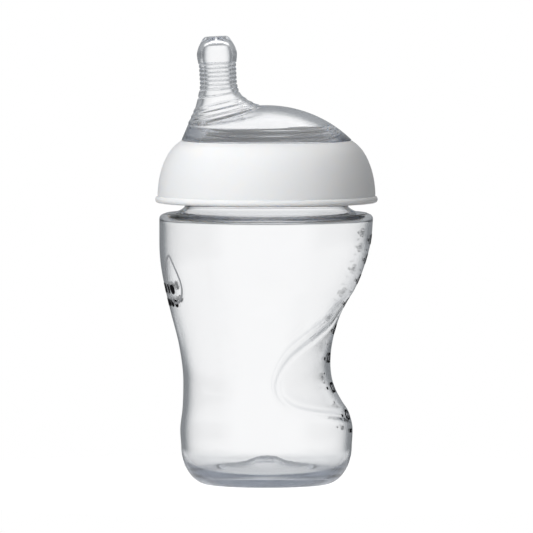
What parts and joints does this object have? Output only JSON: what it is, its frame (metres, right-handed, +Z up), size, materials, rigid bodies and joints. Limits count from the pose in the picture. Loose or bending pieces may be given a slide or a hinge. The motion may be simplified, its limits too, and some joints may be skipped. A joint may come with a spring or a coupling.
{
  "type": "baby bottle",
  "caption": "Clear waisted baby bottle with a thumb recess, a white domed screw ring and a clear silicone teat with an offset ribbed nipple.",
  "frame": {"origin": "centre of the base, on the bottle's axis, at the plane that it stands on", "axes": "+Z up along the bottle's axis, +X towards the thumb recess and the volume scale, -X towards the nipple"},
  "size_m": [0.0804, 0.0804, 0.1623],
  "materials": {
    "clear_polypropylene": "clear, glossy, blown",
    "white_polypropylene": "opaque, smooth satin, moulded",
    "clear_silicone": "clear, soft gloss, moulded",
    "black_print": "printed ink of the volume scale",
    "grey_print": "printed ink of the outline mark"
  },
  "bodies": {
    "bottle": {"bottle": "clear_polypropylene"},
    "teat": {"teat": "clear_silicone"},
    "screw_ring": {"screw_ring": "white_polypropylene"}
  },
  "joints": [
    {"name": "teat_lift", "type": "slide", "parent": "bottle", "child": "teat", "axis": [0, 0, 1], "range_m": [0, 0.0135]},
    {"name": "ring_turn", "type": "hinge", "parent": "teat", "child": "screw_ring", "pos_m": [0, 0, 0.102], "axis": [0, 0, 1], "range_deg": [0, 1080]}
  ],
  "couplings": [
    {"joint": "teat_lift", "follows": "ring_turn", "m_per_rad": 0.0007162}
  ]
}
